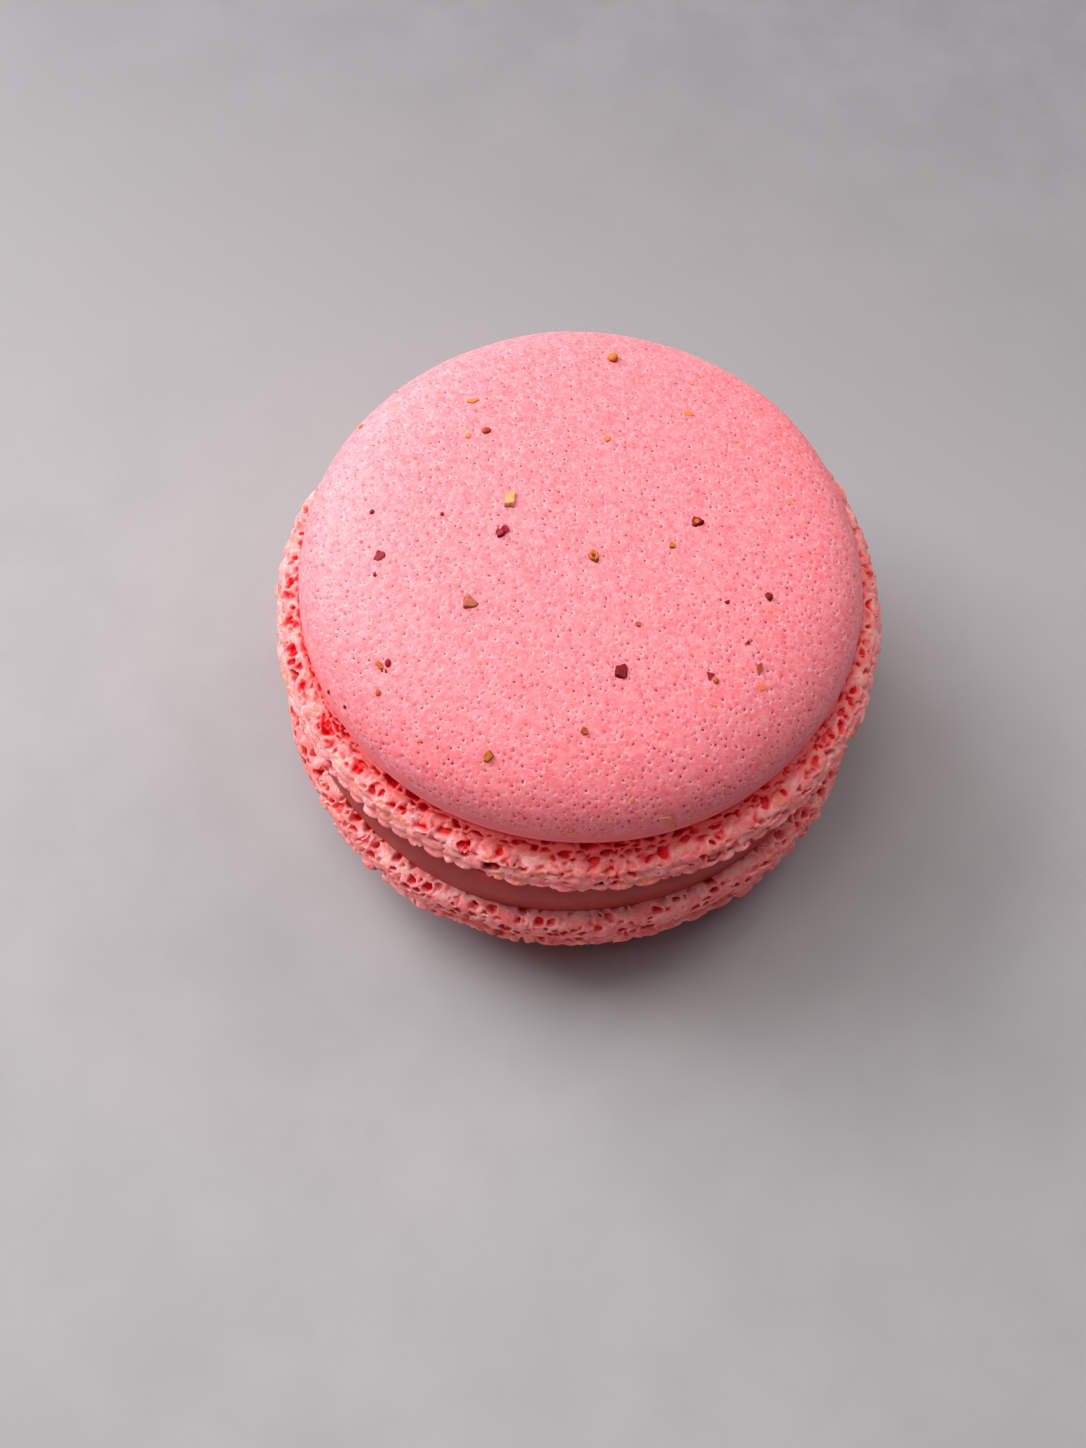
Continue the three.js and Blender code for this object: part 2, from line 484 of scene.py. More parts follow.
def drift(x, y, z, size, seed):
    """Smooth random numbers from -1 to 1 in three columns, which change over about the given size."""
    rng = np.random.default_rng(seed)
    count = 64
    lattice = rng.uniform(-1, 1, (count, count, count, 3)).astype(np.float32)
    place = [c / size + 10 * count for c in (x, y, z)]
    base = [np.floor(p).astype(np.int32) for p in place]
    share = [p - b for p, b in zip(place, base)]
    share = [t * t * (3 - 2 * t) for t in share]
    total = np.zeros((len(x), 3), np.float32)
    for i in (0, 1):
        for j in (0, 1):
            for k in (0, 1):
                weight = (share[0] if i else 1 - share[0]) * (share[1] if j else 1 - share[1])
                weight *= share[2] if k else 1 - share[2]
                corner = [(b + step) % count for b, step in zip(base, (i, j, k))]
                total += weight[:, None] * lattice[corner[0], corner[1], corner[2]]
    return total


class Strip:
    """Uneven cells over a strip that closes on itself, like the faces of torn foam.

    u runs round the strip and s across it. Cells are packed at random, the big ones first, and meet in
    straight walls.
    """

    PIXEL = 0.04
    REACH = 2.6  # how far from its centre a cell can own ground
    COLUMN = 2  # length of a stretch of the strip whose cells are looked up together
    DEEPEST = 0.8  # cells bigger than this aren't deep
    CLOSENESS = 0.8  # least distance between two cells' centres, as a share of the sum of their sizes

    def __init__(self, rng, around, bands):
        self.around = around
        self.low = min(band["low"] for band in bands) - 1
        self.high = max(band["high"] for band in bands) + 1
        self.cells = []
        self.buckets = {}
        for band in bands:
            for size, tries in band["sizes"]:
                for _ in range(tries):
                    self.try_cell(rng, band, size * rng.uniform(0.85, 1.15))
        self.u, self.s, self.size = (np.array([cell[k] for cell in self.cells], np.float32) for k in "usd")
        self.values = {
            key: np.array([cell[key] for cell in self.cells], np.float32)
            for key in ("hollow", "wall", "ramp", "tilt_u", "tilt_s", "tint")
        }
        self.draw()

    def across(self, du):
        """The shorter way round between two places."""
        return (du + self.around / 2) % self.around - self.around / 2

    def try_cell(self, rng, band, size):
        """Puts a cell at a random place, unless another is too near."""
        u, s = rng.uniform(0, self.around), rng.uniform(band["low"], band["high"])
        kind, share = rng.uniform(), rng.uniform()
        tilt_u, tilt_s = rng.normal(0, 0.5, 2)
        tint = rng.uniform()
        column, count = int(u / self.COLUMN), int(self.around / self.COLUMN) + 1
        for near in {(column - 1) % count, column, (column + 1) % count}:
            for other in self.buckets.get(near, ()):
                apart = math.hypot(self.across(u - other["u"]), s - other["s"])
                if apart < self.CLOSENESS * (size + other["d"]):
                    return
        if kind < band["open"] and size < self.DEEPEST:
            low, high = band["deep"]
            tilt, ramp = 0.3, 0.2
        elif kind < band["open"] + band["bowls"]:
            low, high = band["shallow"]
            tilt, ramp = 1.2, 0.55
        else:
            low, high = (-rise for rise in band["crown"])
            tilt, ramp = 0.0, 1.0
        tilt = band.get("tilt", tilt)
        cell = dict(u=u, s=s, d=size, hollow=low + (high - low) * share, wall=band["wall"], ramp=ramp)
        cell.update(tilt_u=tilt_u * tilt, tilt_s=tilt_s * tilt, tint=tint)
        self.cells.append(cell)
        self.buckets.setdefault(column, []).append(cell)

    def draw(self):
        """Marks each small square of the strip with the two cells that are nearest to it."""
        columns = round(self.around / self.PIXEL)
        rows = round((self.high - self.low) / self.PIXEL)
        best = np.full((rows, columns), 99.0, np.float32)
        second = best.copy()
        self.owner = np.zeros((rows, columns), np.int32)
        self.other = np.zeros((rows, columns), np.int32)
        for number, cell in enumerate(self.cells):
            reach = int(self.REACH / self.PIXEL)
            middle = int(cell["u"] / self.PIXEL)
            row = int((cell["s"] - self.low) / self.PIXEL)
            i = np.arange(max(0, row - reach), min(rows, row + reach))
            j = np.arange(middle - reach, middle + reach)
            du = (j + 0.5) * self.PIXEL - cell["u"]
            ds = (i + 0.5) * self.PIXEL + self.low - cell["s"]
            power = (ds[:, None] ** 2 + du[None, :] ** 2 - cell["d"] ** 2).astype(np.float32)
            window = np.ix_(i, j % columns)
            old, old_second = best[window], second[window]
            owner, other = self.owner[window], self.other[window]
            first = power < old
            next_best = ~first & (power < old_second)
            self.other[window] = np.where(first, owner, np.where(next_best, number, other))
            self.owner[window] = np.where(first, number, owner)
            second[window] = np.where(first, old, np.where(next_best, power, old_second))
            best[window] = np.where(first, power, old)

    def at(self, u, s):
        """Each place's cell, its distance to that cell's wall, and its offset from the cell's centre."""
        rows, columns = self.owner.shape
        i = np.clip(((s - self.low) / self.PIXEL).astype(int), 0, rows - 1)
        j = (u / self.PIXEL).astype(int) % columns
        owner, other = self.owner[i, j], self.other[i, j]
        du, ds = self.across(u - self.u[owner]), s - self.s[owner]
        power = du**2 + ds**2 - self.size[owner] ** 2
        other_power = self.across(u - self.u[other]) ** 2 + (s - self.s[other]) ** 2 - self.size[other] ** 2
        apart = np.hypot(self.across(self.u[owner] - self.u[other]), self.s[owner] - self.s[other])
        wall = np.clip((other_power - power) / (2 * apart.clip(0.1)), 0, None)
        return owner, wall, du, ds

    def relief(self, u, s, thick):
        """How far the surface lies below the smooth foot: hollows with thin walls, and round crowns."""
        owner, wall, du, ds = self.at(u, s)
        hollow, size = self.values["hollow"][owner], self.size[owner]
        inside = (wall - self.values["wall"][owner] / 2 * thick) / (self.values["ramp"][owner] * size)
        inside = np.clip(inside, 0, 1)
        bowl = hollow * (1 - (1 - inside) ** 2)
        bowl += (self.values["tilt_u"][owner] * du + self.values["tilt_s"][owner] * ds) * inside
        crown = hollow * np.sqrt(1 - (1 - np.clip(wall / (0.75 * size), 0, 1)) ** 2)
        return np.where(hollow > 0, bowl, crown)

    def facets(self, u, s):
        """Small flat faces, each tilted and raised its own way, with steps between them."""
        owner, _, du, ds = self.at(u, s)
        values = self.values
        return values["hollow"][owner] + values["tilt_u"][owner] * du + values["tilt_s"][owner] * ds


FACET_SIZES = ((0.5, 500), (0.32, 4000), (0.2, 12000))


def facet_band(low, high, rise, tilt):
    """A band of small flat faces, raised by up to rise."""
    unused = dict(open=0.0, bowls=0.0, deep=(0.0, 0.0), shallow=(0.0, 0.0), wall=0.0)
    return dict(low=low, high=high, sizes=FACET_SIZES, crown=(0.0, rise), tilt=tilt, **unused)


def lobe_row(rng, width, radius):
    """Scallops of uneven widths round a ring, as a ring wave from 0 in the notches to 1 on the lobes."""
    count = round(2 * math.pi * radius / width)
    widths = rng.uniform(0.55, 1.45, count)
    ends = np.cumsum(widths) / widths.sum()
    heights = rng.uniform(0.55, 1.0, count)
    turn = np.arange(RING_SAMPLES) / RING_SAMPLES
    lobe = np.searchsorted(ends, turn, "right").clip(0, count - 1)
    starts = np.concatenate([[0], ends[:-1]])
    across = (turn - starts[lobe]) / (ends[lobe] - starts[lobe]) * 2 - 1
    return heights[lobe] * np.sqrt(np.clip(1 - across**2, 0, 1))


# A band of cells: where it lies across the foot's face, cell radii and how often each is tried, the shares
# of deep holes and shallow bowls (the rest are crowns), how deep or high each kind is, and how thick the
# walls are.
TOP_FOOT = dict(
    height=3.05,
    # Where the foot stands out less, in degrees round the shell.
    dents=[dict(azimuth=142, spread=22, depth=0.7), dict(azimuth=185, spread=20, depth=0.12)],
    # Outline of the foot's body: height over the baked underside, and radius.
    outline=[
        (0.0, 22.1), (0.2, 22.25), (0.6, 22.2), (1.1, 22.0), (1.5, 21.55), (1.75, 21.0), (2.1, 20.65),
        (2.5, 20.5), (2.8, 20.4), (2.92, 20.2), (3.0, 19.9), (3.05, 19.5),
    ],
    # Rows of scallops along the lip. The first is its thin skirt.
    rows=[
        dict(height=0.12, half=0.22, radius=22.45, lobe=0.36, width=1.35),
        dict(height=0.7, half=0.5, radius=22.2, lobe=0.3, width=1.5),
        dict(height=1.35, half=0.42, radius=21.9, lobe=0.32, width=1.7),
    ],
    # The face looks up and outwards: its strip is measured inwards from a radius, and up.
    leans_out=False,
    face_radius=22.3,
    bands=[
        dict(low=-0.6, high=0.3, sizes=((0.6, 500), (0.4, 1200)), open=0.0, bowls=0.15, deep=(0.2, 0.5),
             shallow=(0.03, 0.06), crown=(0.01, 0.06), wall=0.14),
        dict(low=0.3, high=1.7, sizes=((0.8, 250), (0.55, 1000), (0.36, 3000)), open=0.16, bowls=0.2,
             deep=(0.3, 0.6), shallow=(0.06, 0.16), crown=(0.1, 0.34), wall=0.18),
        dict(low=1.7, high=3.3, sizes=((0.85, 300), (0.55, 1200), (0.34, 4000)), open=0.26, bowls=0.54,
             deep=(0.35, 0.75), shallow=(0.15, 0.45), crown=(0.05, 0.25), wall=0.15),
        dict(low=3.3, high=5.6, sizes=((0.75, 500), (0.5, 1800), (0.34, 5000)), open=0.36, bowls=0.54,
             deep=(0.4, 0.85), shallow=(0.15, 0.45), crown=(0.02, 0.1), wall=0.15),
    ],
    facets=[facet_band(-0.6, 0.3, 0.05, 0.3), facet_band(0.3, 5.6, 0.2, 1.0)],
    # Heights close under the dome where the foot is painted darker, as painted shade.
    recess_shade=(1.3, 2.6),
    holes=dict(count=420, low=0.1, high=5.2),
    coral=1.0,  # how much of it browned to coral
)

BOTTOM_FOOT = dict(
    height=4.75,
    dents=[dict(azimuth=33, spread=14, depth=-0.25), dict(azimuth=122, spread=24, depth=-0.15)],
    outline=[
        (0.0, 21.25), (0.2, 21.5), (0.6, 21.7), (1.3, 21.8), (1.9, 21.75), (2.35, 21.45),
        (2.75, 21.15), (3.1, 21.3), (3.5, 21.6), (3.95, 21.7), (4.3, 21.5), (4.5, 20.9), (4.65, 20.0),
    ],
    rows=[
        dict(height=1.85, half=0.6, radius=21.75, lobe=0.22, width=1.6),
        dict(height=3.75, half=0.42, radius=21.75, lobe=0.3, width=1.6),
    ],
    leans_out=True,
    face_radius=42.0,
    bands=[
        dict(low=-22.5, high=-18.4, sizes=((0.52, 700), (0.37, 3500), (0.26, 9000)), open=0.5, bowls=0.2,
             deep=(0.35, 0.7), shallow=(0.04, 0.14), crown=(0.03, 0.12), wall=0.24),
        dict(low=-18.4, high=-15.0, sizes=((0.9, 300), (0.6, 1200), (0.4, 3000)), open=0.07, bowls=0.65,
             deep=(0.3, 0.7), shallow=(0.08, 0.24), crown=(0.03, 0.12), wall=0.16),
    ],
    facets=[facet_band(-22.5, -18.4, 0.12, 0.6), facet_band(-18.4, -15.0, 0.12, 0.8)],
    # Heights close under the dome where the foot is painted darker, as painted shade.
    recess_shade=(4.2, 4.7),
    holes=dict(count=500, low=-21.4, high=-16.5),
    coral=0.86,
)

RING_INNER = 17.2  # the foot's hidden inner wall
RECESS_SHADE = 0.3  # painted shade: how much darker and redder the foot is painted close under the dome, as extra depth in mm
FACE_MIDDLE = 21.3  # radius at which distances round the foot's face are measured
FIELD_REACH = 23.3  # the field's half width
FIELD_BELOW = 0.6  # how far it goes on below the foot's baked underside
FIELD_ABOVE = 0.3
TORN_DEPTH = 1.8  # the foam is worked out this far under the smooth face
TORN_ABOVE = 0.5  # and this far over it
TORN_RADIUS = 19.0  # and only outside this radius
HOLE_RADIUS = 0.13
HOLE_SPREAD = 0.3  # standard deviation of the logarithm of the holes' radii


def across_face(shape, radius, height):
    """How far across its face's strip a place on a foot lies."""
    if shape["leans_out"]:
        return height + radius - shape["face_radius"]
    return height + shape["face_radius"] - radius


def face_place(shape, x, y, z, seed):
    """Where points near the foot's face lie on its strip of cells. The walls waver a little."""
    radius, angle = np.hypot(x, y), np.arctan2(y, x) % (2 * math.pi)
    waver = drift(x, y, z, 0.8, seed + 2) * 0.13 + drift(x, y, z, 0.35, seed + 3) * 0.05
    return angle * FACE_MIDDLE + waver[:, 0], across_face(shape, radius, z) + waver[:, 1]


def dented_wave(rng, dents):
    """Slow waves round a foot, with its dents, as a ring wave."""
    wave = ring_wave(rng, 3, 24, 0.06)
    turns = np.degrees(np.arange(RING_SAMPLES) * 2 * math.pi / RING_SAMPLES)
    for dent in dents:
        turned = (turns - dent["azimuth"] + 180) % 360 - 180
        wave -= dent["depth"] * np.exp(-((turned / dent["spread"]) ** 2))
    return wave


def unbroken_foot(rng, shape, slow, radius, angle, z):
    """Signed distances to a foot before it is torn: a ring whose lip has rows of scallops."""
    knots = np.array(shape["outline"])
    heights = np.linspace(-FIELD_BELOW, shape["height"] + FIELD_ABOVE, 400)
    kernel = np.hanning(13)
    outline = np.interp(heights, knots[:, 0], knots[:, 1])
    outline = np.convolve(np.pad(outline, 6, "edge"), kernel / kernel.sum(), "valid")
    edge = np.interp(z, heights, outline) + slow
    for row in shape["rows"]:
        lobes = at_angle(lobe_row(rng, row["width"], row["radius"]), angle)
        lift = row["height"] + at_angle(ring_wave(rng, 8, 50, 0.06), angle)
        up = np.abs(z - lift) / (row["half"] * (0.75 + 0.35 * lobes))
        drop = 1 - np.sqrt(np.clip(1 - up**2, 0, 1)) + np.clip(up - 1, 0, None) * 2
        row_edge = row["radius"] + slow + row["lobe"] * (lobes - 0.4) - drop
        edge = -soft_least(-edge, -row_edge, 0.08)
    side = (radius - edge) * 0.85
    under = at_angle(ring_wave(rng, 4, 70, 0.06), angle) * smooth_step(radius, 20.6, 21.6) - z
    return np.maximum.reduce([side, under, z - shape["height"], RING_INNER - radius]).astype(np.float32)


def torn(hull, x, y, z, shape, strip, small, seed):
    """The distances near a foot's face after it is torn into foam. strip and small are its cells."""
    u, s = face_place(shape, x, y, z, seed)
    thick = 1 + 0.5 * drift(x, y, z, 0.7, seed + 4)[:, 0]
    worn = 0.09 * drift(x, y, z, 1.1, seed)[:, 0] + 0.025 * drift(x, y, z, 0.28, seed + 1)[:, 0]
    return np.maximum(hull, hull + worn + strip.relief(u, s, thick) + small.facets(u, s))


def pierce(rng, field, shape, slow_wave):
    """Small round holes in a foot's face."""
    heights, radii = np.array(shape["outline"]).T
    across = across_face(shape, radii, heights)
    holes = shape["holes"]
    for _ in range(holes["count"]):
        place_across = rng.uniform(holes["low"], holes["high"])
        turn = rng.uniform(0, 2 * math.pi)
        size = rng.lognormal(math.log(HOLE_RADIUS), HOLE_SPREAD)
        lift = np.interp(place_across, across, heights)
        out = np.interp(place_across, across, radii) + at_angle(slow_wave, turn)
        field.hole(turn, out - rng.uniform(0, 0.15), lift, (size * 1.6, size, size), 0.03)


def build_foot(name, shape, place, step, seed):
    """A foot: a ring with scalloped rows on its lip, whose surface is torn open into foam."""
    rng = np.random.default_rng(seed)
    low = (-FIELD_REACH, -FIELD_REACH, -FIELD_BELOW)
    field = Field(low, (FIELD_REACH, FIELD_REACH, shape["height"] + FIELD_ABOVE), step)
    grid_x, grid_y = (np.arange(n) * step + low for n, low in zip(field.shape[:2], field.low[:2]))
    radius_flat = np.hypot(grid_x[:, None], grid_y[None, :])
    ring_flat = (radius_flat > RING_INNER - 0.4) & (radius_flat < FIELD_REACH)
    chosen = np.broadcast_to(ring_flat[:, :, None], field.shape)
    x, y, z = field.points(chosen)
    radius = np.hypot(x, y)
    angle = np.arctan2(y, x) % (2 * math.pi)

    slow_wave = dented_wave(rng, shape["dents"])
    hull = unbroken_foot(rng, shape, at_angle(slow_wave, angle), radius, angle, z)
    field.values[chosen] = hull
    whole = field.values.copy()

    strip = Strip(rng, 2 * math.pi * FACE_MIDDLE, shape["bands"])
    small = Strip(rng, 2 * math.pi * FACE_MIDDLE, shape["facets"])
    near = (hull > -TORN_DEPTH) & (hull < TORN_ABOVE) & (radius > TORN_RADIUS)
    values = field.values[chosen]
    values[near] = torn(hull[near], x[near], y[near], z[near], shape, strip, small, seed)
    field.values[chosen] = values
    pierce(rng, field, shape, slow_wave)

    points, triangles = biggest_part(*field.mesh())
    thing = make_mesh(name, points, triangles, place)
    thin_out(thing, FOOT_TRIANGLES)

    # How deep each vertex lies under the unbroken surface, with extra depth close under the dome, how
    # sharply it stands out, and its cell's tint. The material paints shade by the depth, and shade and
    # highlight by the sharpness.
    back = np.array(place.inverted())
    local = mesh_points(thing) / MM @ back[:3, :3].T + back[:3, 3]
    field.values = whole
    recess_shade = RECESS_SHADE * smooth_step(local[:, 2], *shape["recess_shade"])
    add_values(thing, "depth", np.clip(-field.sample(local), 0, None) + recess_shade)
    add_values(thing, "ridge_shading", ridges(thing))
    owner, _, _, _ = small.at(*face_place(shape, *local.T, seed))
    add_values(thing, "tint", small.values["tint"][owner] * shape["coral"])
    return thing


SHARP_BEND = 0.12  # how far a vertex stands out from its rounded surroundings where a ridge is sharp


def ridges(thing):
    """How sharply the surface bends outwards at each vertex, about -1 to 1."""
    points = mesh_points(thing) / MM
    edges = np.empty(len(thing.data.edges) * 2, np.int32)
    thing.data.edges.foreach_get("vertices", edges)
    edges = edges.reshape(-1, 2)
    count = np.bincount(edges.ravel(), minlength=len(points)).clip(1)[:, None]
    normals = np.empty(len(points) * 3, np.float32)
    thing.data.vertices.foreach_get("normal", normals)
    normals = normals.reshape(-1, 3)

    def smoothed(values):
        total = np.zeros_like(values)
        for column in range(values.shape[1]):
            total[:, column] = np.bincount(edges[:, 0], values[edges[:, 1], column], len(values))
            total[:, column] += np.bincount(edges[:, 1], values[edges[:, 0], column], len(values))
        return total / count

    rounded = smoothed(smoothed(smoothed(points)))
    bend = ((points - rounded) * normals).sum(1) / SHARP_BEND
    return np.clip(smoothed(bend[:, None])[:, 0], -1, 1)


def thin_out(thing, most):
    """Fewer triangles in the flatter parts, down to a given number in all."""
    count = len(thing.data.polygons)
    if count <= most:
        return
    modifier = thing.modifiers.new("thin", "DECIMATE")
    modifier.ratio = most / count
    modifier.use_collapse_triangulate = True
    depsgraph = bpy.context.evaluated_depsgraph_get()
    thinned = bpy.data.meshes.new_from_object(thing.evaluated_get(depsgraph))
    thing.modifiers.clear()
    thing.data = thinned


# ---- Filling ----

FILLING_RADIUS = 20.4
FILLING_BULGE = 0.12
FILLING_TUCK = 0.45  # how far its upper edge is rounded in, under the top shell's lip
TUCK_START = 0.6  # where that rounding starts, as a share of the filling's height
FILLING_OVERLAP = 0.15  # how far it reaches into each shell, so that no gap shows
FILLING_SIDES = 720
FILLING_ROWS = 25


def build_filling(name, seed):
    """A disc with rounded edges, squeezed between the two shells."""
    rng = np.random.default_rng(seed)
    around = FILLING_SIDES
    angles = np.arange(around) * 2 * math.pi / around
    wave = at_angle(ring_wave(rng, 2, 9, 0.05), angles)
    rows = []
    for share in np.linspace(0, 1, FILLING_ROWS):
        tuck = FILLING_TUCK * (max(0, share - TUCK_START) / (1 - TUCK_START)) ** 2
        radius = FILLING_RADIUS + wave + FILLING_BULGE * math.sin(math.pi * share) - tuck
        x, y = radius * np.cos(angles), radius * np.sin(angles)
        top = top_under(x + bottom_middle[0]) + FILLING_OVERLAP - seat_height
        rows.append(np.stack([x, y, -FILLING_OVERLAP + share * (top + FILLING_OVERLAP)], 1))
    points = np.concatenate(rows)
    k = np.arange(around)
    following = (k + 1) % around
    triangles = []
    for row in range(FILLING_ROWS - 1):
        a, b = row * around + k, row * around + following
        triangles.append(np.stack([a, b, b + around], 1))
        triangles.append(np.stack([a, b + around, a + around], 1))
    last = (FILLING_ROWS - 1) * around
    centres = np.array([[0, 0, points[:around, 2].mean()], [0, 0, points[last:, 2].mean()]])
    low_index, high_index = len(points), len(points) + 1
    triangles.append(np.stack([following, k, np.full(around, low_index)], 1))
    triangles.append(np.stack([last + k, last + following, np.full(around, high_index)], 1))
    points += 0.012 * perlin(points, 2.5, (seed, seed, 0))[:, None] * np.array([1, 1, 0])
    return make_mesh(name, np.concatenate([points, centres]), np.concatenate(triangles), BOTTOM_SEAT)


def top_under(x):
    """Height of the top shell's baked underside, which slopes to the right, in the part's frame."""
    return top_seat_height - (x - top_middle[0]) * math.tan(TOP_TILT)


# ---- Crumbs on the top dome ----


def crumb(pixel, size, tone, turn=0, corners=0, **more):
    """A crumb: where it lies in the picture, and its width, length and height in mm.

    tone picks its colour in its material, turn is how far its length is turned clockwise in the picture, and
    corners counts those of its outline, with 0 for a round one.
    """
    return dict(pixel=pixel, size=size, tone=tone, turn=turn, corners=corners, **more)


WINE_CRUMBS = dict(
    hexagon_in_the_middle=crumb(pixel=(622, 671), size=(1.0, 1.15, 0.42), turn=8, corners=6, tone=0.15),
    wedge_upper_right=crumb(
        pixel=(697, 522), size=(0.85, 0.95, 0.45), turn=-55, corners=3, tone=0.35, heart=1.0
    ),
    shield_left=crumb(pixel=(380, 556), size=(0.85, 0.9, 0.35), turn=20, corners=5, tone=0.5),
    ragged_bit=crumb(pixel=(500, 533), size=(0.8, 0.7, 0.42), turn=60, corners=5, tone=0.75, rough=2.6),
    ragged_bit_arm=crumb(pixel=(505, 530), size=(0.55, 0.75, 0.4), turn=42, corners=5, tone=0.9, rough=2.6),
    oval_right=crumb(pixel=(769, 597), size=(0.5, 0.62, 0.35), turn=-25, tone=0.2),
    triangle_low_right=crumb(pixel=(710, 676), size=(0.6, 0.75, 0.28), turn=10, corners=3, tone=0.6),
    oval_left=crumb(pixel=(388, 663), size=(0.42, 0.55, 0.3), turn=10, tone=0.75),
    grain_by_wedge=crumb(pixel=(386, 671), size=(0.2, 0.25, 0.15), corners=4, tone=0.3),
    grain_by_wedge_left=crumb(pixel=(382, 671), size=(0.17, 0.2, 0.15), corners=4, tone=0.3),
    dot_upper_left=crumb(pixel=(372, 512), size=(0.34, 0.42, 0.2), turn=25, tone=0.7),
    dot_by_reds=crumb(pixel=(442, 514), size=(0.26, 0.32, 0.16), tone=0.7),
    dot_under_shield=crumb(pixel=(375, 575), size=(0.28, 0.3, 0.16), tone=0.7),
    fleck_right=crumb(pixel=(727, 602), size=(0.3, 0.48, 0.2), turn=65, corners=3, tone=0.15),
    dot_low_right=crumb(pixel=(748, 643), size=(0.3, 0.42, 0.2), turn=60, corners=4, tone=0.2),
    dot_left_edge=crumb(pixel=(329, 692), size=(0.3, 0.36, 0.2), corners=5, tone=0.5),
    dot_low_left=crumb(pixel=(345, 707), size=(0.26, 0.3, 0.15), turn=30, corners=5, tone=0.4),
)

OCHRE_CRUMBS = dict(
    round_grain_at_back=crumb(pixel=(613, 359), size=(0.78, 0.86, 0.62), tone=0.25),
    pitted_chip=crumb(pixel=(594, 557), size=(0.8, 1.05, 0.5), turn=-28, corners=7, tone=0.3, heart=-1.0),
    block_low_left=crumb(pixel=(488, 756), size=(0.75, 0.9, 0.6), turn=20, corners=5, tone=0.1),
    pebble_low=crumb(pixel=(584, 731), size=(0.5, 0.6, 0.35), corners=5, tone=0.75),
    grain_low_right=crumb(pixel=(716, 681), size=(0.4, 0.45, 0.28), tone=0.5),
    wedge_left=crumb(pixel=(380, 666), size=(0.4, 0.85, 0.32), turn=-42, corners=5, tone=0.45),
    dot_left=crumb(pixel=(378, 693), size=(0.4, 0.42, 0.2), tone=0.6),
    grain_upper_right=crumb(pixel=(672, 546), size=(0.42, 0.5, 0.3), turn=30, corners=5, tone=0.3),
    grain_middle=crumb(pixel=(638, 624), size=(0.4, 0.5, 0.28), turn=-30, corners=5, tone=0.7),
    red_oval_at_back=crumb(pixel=(486, 431), size=(0.5, 0.68, 0.3), turn=85, tone=0.95),
    leaf_right=crumb(pixel=(760, 668), size=(0.52, 0.85, 0.25), turn=15, corners=4, tone=0.9),
)

PEACH_FLAKES = dict(
    back_right=crumb(pixel=(691, 384), size=(0.28, 0.6, 0.1), turn=-65, corners=4, tone=0.7),
    right_wedge=crumb(pixel=(688, 414), size=(0.45, 0.85, 0.12), turn=-75, corners=3, tone=0.2),
    back_left=crumb(pixel=(473, 401), size=(0.45, 0.9, 0.2), turn=75, corners=5, tone=0.3),
    by_red_oval=crumb(pixel=(468, 436), size=(0.38, 0.5, 0.16), turn=20, corners=4, tone=0.6),
    middle_back=crumb(pixel=(607, 439), size=(0.48, 0.58, 0.2), turn=10, corners=5, tone=0.2),
    thin_right=crumb(pixel=(735, 442), size=(0.16, 0.7, 0.06), turn=85, corners=4, tone=0.3),
    thin_right_low=crumb(pixel=(742, 447), size=(0.2, 0.5, 0.06), turn=-30, corners=3, tone=0.4),
    left_edge_back=crumb(pixel=(357, 427), size=(0.4, 0.5, 0.24), turn=40, corners=5, tone=0.4),
    left_back=crumb(pixel=(397, 392), size=(0.32, 0.5, 0.16), corners=4, tone=0.6),
    right_low=crumb(pixel=(762, 688), size=(0.38, 0.6, 0.16), turn=50, corners=4, tone=0.5),
    left_low=crumb(pixel=(418, 741), size=(0.3, 0.5, 0.14), turn=80, corners=4, tone=0.6),
    left_low_pale=crumb(pixel=(465, 790), size=(0.2, 0.35, 0.08), turn=-20, corners=4, tone=0.5),
    front=crumb(pixel=(571, 831), size=(0.42, 0.5, 0.14), turn=30, corners=5, tone=0.1),
    low_pale=crumb(pixel=(568, 739), size=(0.2, 0.45, 0.08), turn=-50, corners=4, tone=0.9),
    low_right_pale=crumb(pixel=(715, 706), size=(0.3, 0.36, 0.08), corners=4, tone=0.8),
    right_pale=crumb(pixel=(789, 503), size=(0.26, 0.4, 0.08), corners=4, tone=0.7),
    low_middle=crumb(pixel=(632, 800), size=(0.32, 0.5, 0.14), turn=20, corners=4, tone=0.4),
)

TAN_CHIPS = dict(
    block=crumb(pixel=(510, 500), size=(0.72, 1.3, 0.5), turn=6, corners=4, tone=0.1, square=True),
    wedge=crumb(pixel=(470, 602), size=(1.1, 1.15, 0.4), turn=-80, corners=3, tone=1.0),
)

CRUMB_SINK = 0.3  # share of a crumb's height that is baked into the crust
HEART_RADIUS = 0.26  # of the spot in a crumb's middle that some have, as a share of its width
HEART_DEPTH = 0.25  # of a pitted crumb's heart, as a share of its height
SIGHT_STEP = 4  # pixels to each side of a crumb over which the crust's direction is averaged


def resting_place(carrier, pixel):
    """Where a pixel's sight line meets the carrier, and the way that its surface faces there."""
    spots, faces = [], []
    for step in ((0, 0), (SIGHT_STEP, 0), (-SIGHT_STEP, 0), (0, SIGHT_STEP), (0, -SIGHT_STEP)):
        direction = sight_line((pixel[0] + step[0], pixel[1] + step[1]))
        hit, spot, face, _ = carrier.ray_cast(camera_place, direction)
        if hit:
            spots.append(spot)
            faces.append(face)
    return spots[0] / MM, sum(faces, Vector()).normalized()


def ball_mesh(levels):
    """Vertices and triangles of a ball with a radius of 1, from a split icosahedron."""
    made = bmesh.new()
    bmesh.ops.create_icosphere(made, subdivisions=levels, radius=1.0)
    points = np.array([v.co[:] for v in made.verts])
    triangles = np.array([[v.index for v in f.verts] for f in made.faces])
    made.free()
    return points, triangles


